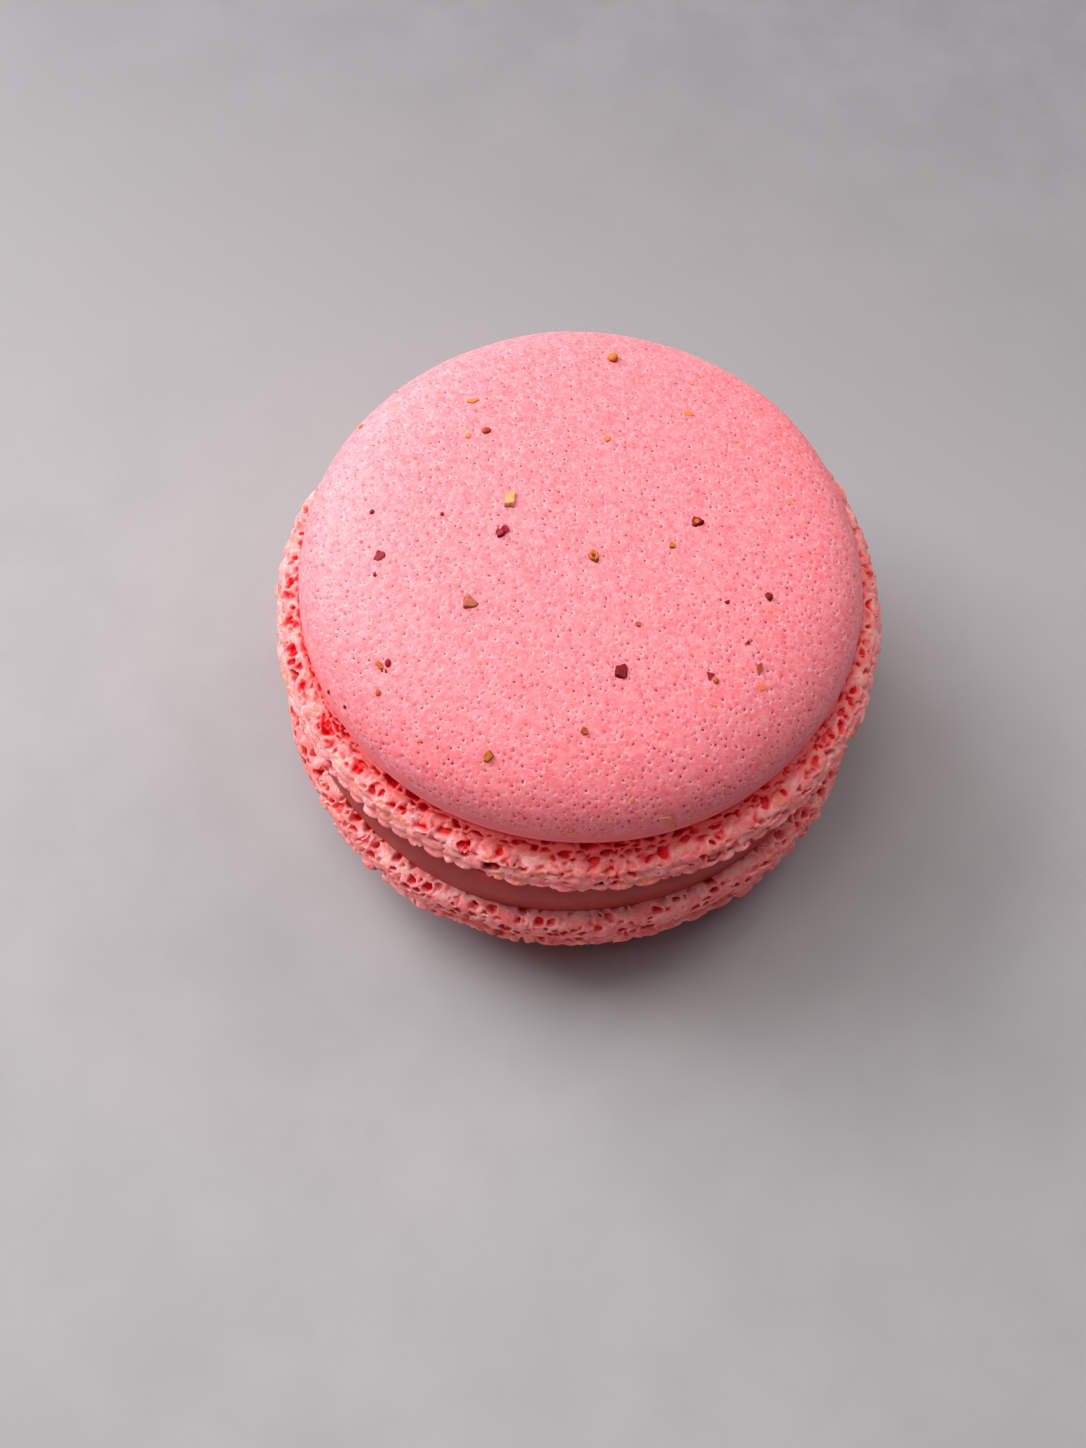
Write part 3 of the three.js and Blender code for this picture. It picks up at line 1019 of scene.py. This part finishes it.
def crumb_shape(rng, ball, size, corners, square=False, rough=1.0):
    """A crumb's points, with its width along x, its length along y and its foot at z = 0."""
    half = np.array(size) / 2
    points = ball * 1.25
    if corners:
        turns = np.arange(corners) + (0 if square else rng.uniform(0, 1))
        angles = turns / corners * 2 * math.pi + (0 if square else rng.uniform(-0.3, 0.3, corners))
        reach = np.full(corners, 0.8) if square else rng.uniform(0.62, 0.85, corners)
        for angle, away_from in zip(angles, reach):
            side = np.array([math.cos(angle), math.sin(angle), rng.uniform(-0.15, 0.3)])
            side /= np.linalg.norm(side)
            points = points - np.clip(points @ side - away_from, 0, None)[:, None] * side
        lid = np.array([rng.uniform(-0.25, 0.25), rng.uniform(-0.25, 0.25), 1.0])
        lid /= np.linalg.norm(lid)
        points = points - np.clip(points @ lid - 0.7, 0, None)[:, None] * lid
    points = points / np.abs(points).max(0) * half
    uneven = min(size) * 0.09 * rough
    points = points * (1 + uneven * perlin(points, 0.35, rng.uniform(0, 9, 3))[:, None] / half.min())
    return points + np.array([0, 0, half[2]])


def build_crumbs(name, carrier, crumbs, seed):
    """All crumbs of one kind, joined, each resting on the carrier where its pixel shows it."""
    rng = np.random.default_rng(seed)
    ball, ball_triangles = ball_mesh(4)
    all_points, all_triangles, tones, hearts, rises = [], [], [], [], []
    to_camera_right = camera_turn @ Vector((1, 0, 0))
    for number, bit in enumerate(crumbs.values()):
        spot, up = resting_place(carrier, bit["pixel"])
        right = (to_camera_right - up * to_camera_right.dot(up)).normalized()
        right = Matrix.Rotation(math.radians(-bit["turn"]), 3, up) @ right
        axes = np.array([right, up.cross(right), up])
        look = {key: bit[key] for key in ("square", "rough") if key in bit}
        width, length, height = bit["size"]
        points = crumb_shape(rng, ball, bit["size"], bit["corners"], **look)
        middle = np.hypot(points[:, 0] / width, points[:, 1] / length)
        heart = np.clip(1 - middle / HEART_RADIUS, 0, 1) * (points[:, 2] > height / 2)
        heart_tone = bit.get("heart", 0)
        rises += list(points[:, 2] / height)
        points[:, 2] -= height * (CRUMB_SINK + (HEART_DEPTH * heart if heart_tone < 0 else 0))
        all_triangles.append(ball_triangles + number * len(ball))
        all_points.append(points @ axes + np.array(spot))
        tones += [bit["tone"]] * len(points)
        hearts += list(heart * heart_tone)
    thing = make_mesh(name, np.concatenate(all_points), np.concatenate(all_triangles), Matrix.Identity(4))
    add_values(thing, "tone", tones)
    # Hearts: positive for a coloured spot, negative for a pit that is painted shaded. Rise is the height
    # within each crumb, by which its low sides are painted shaded.
    add_values(thing, "heart", hearts)
    add_values(thing, "rise", rises)
    return thing


# The fibre: a tan hook that stands up from the crust near the dome's front edge, and its tail.
FIBRE_PIXELS = dict(
    foot=(658, 818),
    rise=(661, 815),
    crown=(667, 813),
    drop=(671, 817),
    bend=(673, 824),
    end=(677, 832),
)
FIBRE_LIFTS = (0.0, 0.35, 0.5, 0.3, 0.05, 0.0)  # off the crust, at each pixel
FIBRE_CLEARANCE = 0.04
FIBRE_HALF_WIDTH = 0.07
FIBRE_STEPS = 60
FIBRE_SIDES = 10


def build_fibre(name, carrier):
    """A thin flat fibre on a smooth line through its named points, each lifted off the crust."""
    spots, ups = [], []
    for pixel, lift in zip(FIBRE_PIXELS.values(), FIBRE_LIFTS):
        spot, up = resting_place(carrier, pixel)
        spots.append(np.array(spot) + np.array(up) * (lift + FIBRE_CLEARANCE))
        ups.append(up)
    count, around = FIBRE_STEPS, FIBRE_SIDES
    at = np.linspace(0, len(spots) - 1, count)
    index = np.arange(len(spots))
    line, ups = (
        np.stack([np.interp(at, index, column) for column in np.array(knots).T], 1) for knots in (spots, ups)
    )
    for _ in range(12):
        line[1:-1] = (line[:-2] + 2 * line[1:-1] + line[2:]) / 4
    ahead = np.gradient(line, axis=0)
    ahead /= np.linalg.norm(ahead, axis=1)[:, None]
    sides = np.cross(ahead, ups)
    sides /= np.linalg.norm(sides, axis=1)[:, None]
    overs = np.cross(sides, ahead)
    points = []
    for k in range(count):
        taper = FIBRE_HALF_WIDTH * (0.35 + 0.65 * math.sin(math.pi * (k + 0.5) / count) ** 0.5)
        for turn in np.arange(around) * 2 * math.pi / around:
            points.append(line[k] + taper * (math.cos(turn) * sides[k] + 0.45 * math.sin(turn) * overs[k]))
    triangles = []
    for k in range(count - 1):
        for j in range(around):
            a, b = k * around + j, k * around + (j + 1) % around
            triangles += [(a, b, b + around), (a, b + around, a + around)]
    for ring, flip in ((0, True), (count - 1, False)):
        centre = len(points)
        points.append(line[ring])
        for j in range(around):
            a, b = ring * around + j, ring * around + (j + 1) % around
            triangles.append((b, a, centre) if flip else (a, b, centre))
    return make_mesh(name, np.array(points), np.array(triangles), Matrix.Identity(4))


# ---- Materials ----


def srgb(red, green, blue):
    """A colour given as 0 to 255 on screen, as the linear value that shaders take."""
    values = [c / 255 for c in (red, green, blue)]
    return [c / 12.92 if c <= 0.04045 else ((c + 0.055) / 1.055) ** 2.4 for c in values] + [1]


class Paint:
    """A node material, built up by short calls. Its base is the colour so far."""

    def __init__(self, name, roughness, specular=0.3):
        self.material = bpy.data.materials.new(name)
        self.material.use_nodes = True
        self.tree = self.material.node_tree
        self.shader = self.tree.nodes["Principled BSDF"]
        self.shader.inputs["Roughness"].default_value = roughness
        self.shader.inputs["Specular IOR Level"].default_value = specular
        self.where = self.node("ShaderNodeTexCoord").outputs["Object"]

    def node(self, kind, **settings):
        made = self.tree.nodes.new(kind)
        for key, value in settings.items():
            setattr(made, key, value)
        return made

    def link(self, source, target):
        self.tree.links.new(source, target)

    def put(self, value, socket):
        """Links a socket, or sets a number or colour."""
        if isinstance(value, bpy.types.NodeSocket):
            self.link(value, socket)
        else:
            socket.default_value = value

    def value_of(self, name):
        return self.node("ShaderNodeAttribute", attribute_name=name).outputs["Fac"]

    def noise(self, size_mm, detail=2.0, rough=0.5, warp=0.0, shift=(0, 0, 0)):
        move = self.node("ShaderNodeMapping")
        move.inputs["Location"].default_value = shift
        self.link(self.where, move.inputs["Vector"])
        made = self.node("ShaderNodeTexNoise")
        self.link(move.outputs["Vector"], made.inputs["Vector"])
        made.inputs["Scale"].default_value = 1 / (size_mm * MM)
        made.inputs["Detail"].default_value = detail
        made.inputs["Roughness"].default_value = rough
        made.inputs["Distortion"].default_value = warp
        return made.outputs["Fac"]

    def math(self, operation, a, b=0.0):
        made = self.node("ShaderNodeMath", operation=operation)
        self.put(a, made.inputs[0])
        self.put(b, made.inputs[1])
        return made.outputs[0]

    def times(self, a, b):
        return self.math("MULTIPLY", a, b)

    def crooked_lines(self, *noise):
        """0 on thin crooked lines, where a noise crosses its middle, and more away from them."""
        return self.math("ABSOLUTE", self.math("SUBTRACT", self.noise(*noise), 0.5))

    def between(self, value, low, high, to_low=0.0, to_high=1.0):
        made = self.node("ShaderNodeMapRange", interpolation_type="SMOOTHSTEP")
        for number, socket in zip((value, low, high, to_low, to_high), made.inputs):
            self.put(number, socket)
        return made.outputs[0]

    def mix(self, share, a, b):
        made = self.node("ShaderNodeMix", data_type="RGBA")
        self.put(share, made.inputs[0])
        self.put(a, made.inputs[6])
        self.put(b, made.inputs[7])
        return made.outputs[2]

    def mix_value(self, share, a, b):
        """a where share is 0, and b where it is 1."""
        made = self.node("ShaderNodeMix", data_type="FLOAT")
        for value, socket in zip((share, a, b), (made.inputs[0], made.inputs[2], made.inputs[3])):
            self.put(value, socket)
        return made.outputs[0]

    def spots(self, apart_mm, least_mm, most_mm, soft=0.6):
        """Round spots of uneven radius, about one to a cell of the given size. Some cells have none."""
        made = self.node("ShaderNodeTexVoronoi")
        self.link(self.where, made.inputs["Vector"])
        made.inputs["Scale"].default_value = 1 / (apart_mm * MM)
        split = self.node("ShaderNodeSeparateColor")
        self.link(made.outputs["Color"], split.inputs[0])
        least, most = least_mm / apart_mm, most_mm / apart_mm
        radius = self.between(split.outputs[0], 0, 1, 2 * least - most, most)
        radius = self.math("MAXIMUM", radius, 0.001)
        core = self.math("MULTIPLY", radius, soft)
        return self.between(made.outputs["Distance"], core, radius, 1.0, 0.0)

    def layer(self, colour, value, low, high, to_low=0.0, to_high=1.0):
        """Lays a colour over the base, by where a value lies between two others."""
        self.base = self.mix(self.between(value, low, high, to_low, to_high), self.base, colour)

    def use_base(self):
        self.put(self.base, self.shader.inputs["Base Color"])

    def bump(self, height, strength, distance_mm, under=None):
        made = self.node("ShaderNodeBump")
        made.inputs["Strength"].default_value = strength
        made.inputs["Distance"].default_value = distance_mm * MM
        self.link(height, made.inputs["Height"])
        if under is not None:
            self.link(under, made.inputs["Normal"])
        return made.outputs["Normal"]

    def use_bump(self, *bump):
        self.link(self.bump(*bump), self.shader.inputs["Normal"])

    def scatter(self, weight, size_mm, radius=(1.0, 0.35, 0.28)):
        self.shader.inputs["Subsurface Weight"].default_value = weight
        self.shader.inputs["Subsurface Radius"].default_value = radius
        self.shader.inputs["Subsurface Scale"].default_value = size_mm * MM


DOME_DEEP = srgb(242, 112, 124)
DOME_PALE = srgb(251, 149, 158)
# Pale strokes of the crust, and painted highlight on the pinholes' rims and the brim.
DOME_STROKE_AND_HIGHLIGHT = srgb(253, 172, 176)
MARK_ROSE = srgb(212, 74, 110)
STAIN_ORANGE = srgb(238, 120, 84)
# Painted shade inside the pinholes.
PIT_SHADE_WINE = srgb(176, 10, 62)
FOOT_PINK = srgb(250, 152, 154)
# Paler tone that some cells have, the torn lines, and painted highlight on sharp outward edges.
FOOT_PALE_TONE_AND_HIGHLIGHT = srgb(254, 206, 200)
FOOT_CORAL = srgb(250, 140, 108)
# Deeper tone that some cells have, and painted shade in shallow hollows.
FOOT_DEEP_TONE_AND_SHADE = srgb(244, 104, 104)
# Painted shade in deep hollows and in creases.
FOOT_SHADE_RED = srgb(228, 14, 32)
FILLING_ROSE = srgb(174, 56, 48)
FILLING_DARK = srgb(158, 46, 40)
FIBRE_STRAW = srgb(226, 168, 112)
FIBRE_BROWN = srgb(178, 112, 76)
FLOOR_PAINTED_SHADE = srgb(130, 128, 131)
FLOOR_PAINTED_LIGHT = srgb(169, 167, 169)
FLOOR_CLOUD = srgb(152, 150, 153)
FLOOR_FAR = 95.0  # mm behind the origin, where the floor's painted shade is at its darkest
FLOOR_NEAR = -20.0
FLOOR_SLANT = 0.35  # the painted shade darkens the right side too


def dome_paint():
    paint = Paint("dome_crust", 0.5, 0.45)
    inner = paint.value_of("inner")
    # Mottling from 1 mm down to the size of the pinholes.
    blotch = paint.between(paint.noise(0.6, 4.0, 0.75, 0.3), 0.3, 0.7)
    paint.base = paint.mix(paint.mix_value(inner, 0.15, blotch), DOME_DEEP, DOME_PALE)
    # Fine pale strokes that curl.
    curl = paint.crooked_lines(0.55, 1.5, 0.55, 0.35, (0.4, 0.2, 0.9))
    stroke = paint.between(curl, 0.012, 0.06, 1.0, 0.0)
    broken = paint.between(paint.noise(0.24, 1.0, 0.5, 0.0, (0.9, 0.1, 0.3)), 0.46, 0.6)
    pale = paint.times(paint.times(stroke, broken), inner)
    paint.base = paint.mix(paint.times(pale, 0.6), paint.base, DOME_STROKE_AND_HIGHLIGHT)
    # Faint marks of closed bubbles, between the open pinholes.
    mark = paint.times(paint.spots(0.33, 0.05, 0.15, 0.15), inner)
    paint.base = paint.mix(paint.times(mark, 0.65), paint.base, MARK_ROSE)
    # Stains round specks of fruit, broken up.
    stain = paint.times(paint.spots(4.4, 0.35, 0.75, 0.35), paint.between(paint.noise(0.5), 0.35, 0.6))
    paint.base = paint.mix(paint.times(stain, 0.52), paint.base, STAIN_ORANGE)
    # Painted highlight on the pinholes' rims and the brim at the dome's edge.
    paint.base = paint.mix(paint.times(paint.value_of("rim_highlight"), 0.5), paint.base, DOME_STROKE_AND_HIGHLIGHT)
    # Painted shade inside the pinholes.
    paint.layer(PIT_SHADE_WINE, paint.value_of("pit_shade"), 0.12, 0.55)
    paint.use_base()
    paint.use_bump(paint.math("SUBTRACT", pale, mark), 0.4, 0.035)
    paint.scatter(0.25, 0.7)
    return paint.material


def foot_paint():
    paint = Paint("foot_crumb", 0.5, 0.3)
    depth = paint.value_of("depth")
    ridge_shading = paint.value_of("ridge_shading")
    tint = paint.value_of("tint")
    paint.base = FOOT_PINK
    paint.layer(FOOT_DEEP_TONE_AND_SHADE, tint, 0.0, 0.45, 0.5, 0.0)
    paint.layer(FOOT_PALE_TONE_AND_HIGHLIGHT, tint, 0.45, 0.8, 0.0, 0.5)
    paint.layer(FOOT_CORAL, tint, 0.84, 0.88, 0.0, 0.75)
    paint.layer(FOOT_CORAL, paint.noise(1.8, 3, 0.6), 0.55, 0.75, 0.0, 0.6)
    # Torn crumb: thin crooked ridges, paler than the small faces between them.
    torn_line = paint.crooked_lines(0.7, 3, 0.6, 0.4, (0.3, 0.6, 0.1))
    paint.layer(FOOT_DEEP_TONE_AND_SHADE, torn_line, 0.05, 0.16, 0.0, 0.25)
    paint.layer(FOOT_PALE_TONE_AND_HIGHLIGHT, torn_line, 0.01, 0.04, 0.35, 0.0)
    # Painted highlight on sharp outward bends, and painted shade in red in the inward creases.
    paint.layer(FOOT_PALE_TONE_AND_HIGHLIGHT, ridge_shading, 0.12, 0.7, 0.0, 0.9)
    paint.layer(FOOT_SHADE_RED, ridge_shading, -0.9, -0.15, 0.6, 0.0)
    # Painted shade: hollows darken to deep pink and then red with their depth, and close under the dome.
    paint.layer(FOOT_DEEP_TONE_AND_SHADE, depth, 0.05, 0.25, 0.0, 0.8)
    paint.layer(FOOT_SHADE_RED, depth, 0.22, 0.5)
    paint.use_base()
    raised = paint.bump(paint.between(torn_line, 0.0, 0.12, 1.0, 0.0), 0.5, 0.04)
    paint.use_bump(paint.noise(0.2, 3, 0.65, 0.3), 0.6, 0.05, raised)
    paint.scatter(0.18, 0.3)
    return paint.material


def filling_paint():
    paint = Paint("filling_ganache", 0.5, 0.35)
    paint.base = FILLING_ROSE
    paint.layer(FILLING_DARK, paint.noise(3.0, 3, 0.55), 0.35, 0.65)
    paint.use_base()
    paint.use_bump(paint.noise(0.5, 3, 0.55, 0.5), 0.25, 0.03)
    paint.scatter(0.2, 0.5)
    return paint.material


def crumb_paint(name, first, second, edge, heart):
    """Two tones that crumbs differ by, another in grain and as painted shade in hollows and at low edges,
    and one for hearts.
    """
    paint = Paint(name, 0.5, 0.15)
    uneven = paint.between(paint.noise(0.35, 3, 0.6), 0.3, 0.7, -0.25, 0.25)
    paint.base = srgb(*first)
    paint.layer(srgb(*second), paint.math("ADD", paint.value_of("tone"), uneven), 0.0, 1.0)
    grain = paint.noise(0.14, 3, 0.65, 0.4)
    paint.layer(srgb(*edge), grain, 0.5, 0.75, 0.0, 0.6)
    # Painted shade on each crumb's low sides, next to the crust.
    paint.layer(srgb(*edge), paint.value_of("rise"), 0.45, 0.85, 0.8, 0.0)
    paint.layer(srgb(*heart), paint.value_of("heart"), 0.1, 0.5)
    # Painted shade in pitted hearts.
    paint.layer(srgb(*edge), paint.value_of("heart"), -0.6, -0.1, 1.0, 0.0)
    paint.use_base()
    paint.use_bump(grain, 0.5, 0.03)
    return paint.material


def fibre_paint():
    paint = Paint("fibre_straw", 0.6, 0.3)
    grain = paint.noise(0.2, 3, 0.6, 1.5)
    paint.base = FIBRE_STRAW
    paint.layer(FIBRE_BROWN, grain, 0.35, 0.65)
    paint.use_base()
    paint.use_bump(grain, 0.4, 0.02)
    return paint.material


def floor_paint():
    """Grey card, with painted light: lighter towards the front and left, and darker with painted shade
    towards the back and right.
    """
    paint = Paint("floor_card", 0.85, 0.15)
    split = paint.node("ShaderNodeSeparateXYZ")
    paint.link(paint.where, split.inputs[0])
    slanted = paint.math("ADD", split.outputs[1], paint.times(split.outputs[0], FLOOR_SLANT))
    paint.base = FLOOR_PAINTED_SHADE
    paint.layer(FLOOR_PAINTED_LIGHT, slanted, FLOOR_FAR * MM, FLOOR_NEAR * MM)
    paint.layer(FLOOR_CLOUD, paint.noise(9.0, 4, 0.6), 0.3, 0.7, 0.0, 0.3)
    paint.use_base()
    return paint.material


# ---- Make the pieces ----

DOME_SPACING = 0.142  # between the vertices of the dome that shows
HIDDEN_DOME_SPACING = 0.26
FOOT_STEP = 0.09  # of the field that a foot is made from
FOOT_TRIANGLES = 198000


def finish_piece(thing, material, node=None):
    """Gives a piece its material, its body and its slot, and lets it stand for a CAD node."""
    thing.data.materials.append(material)
    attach(thing, "root")
    if node:
        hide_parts(node)


crust = dome_paint()
crumb_foam = foot_paint()
dome_top = build_dome("dome_top", TOP_DOME, TOP_PLACE, DOME_SPACING, pinholes=4300, seed=11)
finish_piece(dome_top, crust, "shell_top")
foot_top = build_foot("foot_top", TOP_FOOT, TOP_PLACE, FOOT_STEP, seed=21)
finish_piece(foot_top, crumb_foam, "shell_top")
dome_bottom = build_dome(
    "dome_bottom", BOTTOM_DOME, BOTTOM_PLACE, HIDDEN_DOME_SPACING, pinholes=900, seed=12
)
finish_piece(dome_bottom, crust, "shell_bottom")
foot_bottom = build_foot("foot_bottom", BOTTOM_FOOT, BOTTOM_PLACE, FOOT_STEP, seed=22)
finish_piece(foot_bottom, crumb_foam, "shell_bottom")
finish_piece(build_filling("filling_band", seed=31), filling_paint(), "filling")

wine = crumb_paint("crumb_wine", (126, 11, 12), (160, 28, 52), edge=(84, 4, 12), heart=(214, 92, 30))
ochre = crumb_paint("crumb_ochre", (216, 132, 52), (180, 62, 40), edge=(124, 50, 20), heart=(218, 140, 50))
peach = crumb_paint("flake_peach", (238, 134, 56), (234, 140, 92), edge=(204, 98, 42), heart=(238, 134, 56))
tan = crumb_paint("chip_tan", (228, 170, 118), (196, 106, 84), edge=(150, 52, 42), heart=(228, 170, 118))
for name, crumbs, material, seed in (
    ("crumbs_wine", WINE_CRUMBS, wine, 41),
    ("crumbs_ochre", OCHRE_CRUMBS, ochre, 42),
    ("flakes_peach", PEACH_FLAKES, peach, 43),
    ("chips_tan", TAN_CHIPS, tan, 44),
):
    finish_piece(build_crumbs(name, dome_top, crumbs, seed), material)
finish_piece(build_fibre("fibre_tan", dome_top), fibre_paint())


# ---- Floor, light and camera ----


def make_floor():
    bpy.ops.mesh.primitive_plane_add(size=FLOOR_SIZE, location=(0, 0, 0))
    floor = bpy.context.object
    floor.name = "floor"
    floor.data.materials.append(floor_paint())
    return floor


def aimed_light(name, azimuth, elevation, size, watts, colour=(1, 1, 1)):
    """A soft square light that shines on the origin from a direction, in degrees."""
    light = bpy.data.lights.new(name, "AREA")
    light.shape = "RECTANGLE"
    light.size = light.size_y = size
    light.energy = watts
    light.color = colour
    lamp = bpy.data.objects.new(name, light)
    bpy.context.scene.collection.objects.link(lamp)
    turn, rise = math.radians(azimuth), math.radians(elevation)
    towards = Vector((math.cos(turn) * math.cos(rise), math.sin(turn) * math.cos(rise), math.sin(rise)))
    lamp.location = towards * LIGHT_DISTANCE
    lamp.rotation_euler = (-lamp.location).to_track_quat("-Z", "Y").to_euler()
    return lamp


def spare(lamp, thing):
    """Keeps a lamp's light off one thing, so that it doesn't fill the shadows there."""
    spared = bpy.data.collections.new(f"spared_by_{lamp.name}")
    spared.objects.link(thing)
    spared.collection_objects[0].light_linking.link_state = "EXCLUDE"
    lamp.light_linking.receiver_collection = spared


LIGHT_DISTANCE = 0.6  # metres
FLOOR_SIZE = 3.0
LIGHTS = dict(
    key=dict(azimuth=144, elevation=33, size=0.4, watts=3.9),
    key_high=dict(azimuth=155, elevation=50, size=0.3, watts=0.8),
    low_key=dict(azimuth=120, elevation=12, size=0.22, watts=1.2, colour=(1.0, 0.8, 0.8)),
    high=dict(azimuth=120, elevation=70, size=0.3, watts=0.9),
    top=dict(azimuth=0, elevation=90, size=0.3, watts=0.65),
    right=dict(azimuth=40, elevation=50, size=0.24, watts=0.95, colour=(1.0, 0.88, 0.86)),
    low_right=dict(azimuth=30, elevation=12, size=0.22, watts=0.35, colour=(1.0, 0.88, 0.86)),
    front_left=dict(azimuth=200, elevation=14, size=0.22, watts=0.4, colour=(1.0, 0.95, 0.93)),
    low_front=dict(azimuth=258, elevation=16, size=0.22, watts=0.52, colour=(1.0, 0.34, 0.32)),
)

make_camera()
floor = make_floor()
lamps = {name: aimed_light(name, **light) for name, light in LIGHTS.items()}
spare(lamps["low_front"], floor)

world = bpy.data.worlds.new("studio")
world.use_nodes = True
background = world.node_tree.nodes["Background"]
background.inputs["Color"].default_value = (1.0, 0.97, 0.98, 1)
background.inputs["Strength"].default_value = 0.01
bpy.context.scene.world = world

bpy.context.scene.view_settings.view_transform = "Standard"
